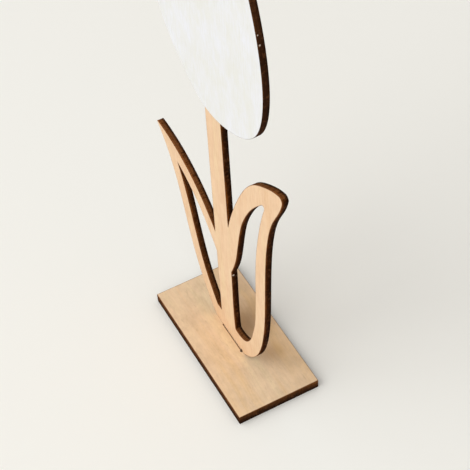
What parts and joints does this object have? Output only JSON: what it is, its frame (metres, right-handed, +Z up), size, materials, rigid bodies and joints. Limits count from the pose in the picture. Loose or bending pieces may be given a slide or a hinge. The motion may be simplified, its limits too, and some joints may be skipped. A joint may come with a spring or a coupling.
{
  "type": "standing wooden tulip ornament",
  "caption": "Flat plywood tulip on a slotted base plate: a fretted stem with open leaves plugs into the base by a tab and carries a white flower head glued on its front.",
  "frame": {"origin": "centre of the base plate's underside, on the surface that the ornament stands on", "axes": "+Z up, the flower faces -Y, +X is to the right of someone who looks at the flower"},
  "size_m": [0.1134, 0.04, 0.2672],
  "materials": {
    "base_plywood": "bare sanded birch plywood with charred laser-cut edges",
    "panel_plywood": "bare sanded birch plywood with charred laser-cut edges",
    "white_paint": "matt white paint on the face of plywood with charred laser-cut edges"
  },
  "bodies": {
    "base": {"base_plate": "base_plywood"},
    "upright": {"stem_panel": "panel_plywood", "flower_head": "white_paint"}
  },
  "joints": [
    {"name": "stem_lift", "type": "slide", "parent": "base", "child": "upright", "axis": [0, 0, 1], "range_m": [0, 0.012]}
  ]
}
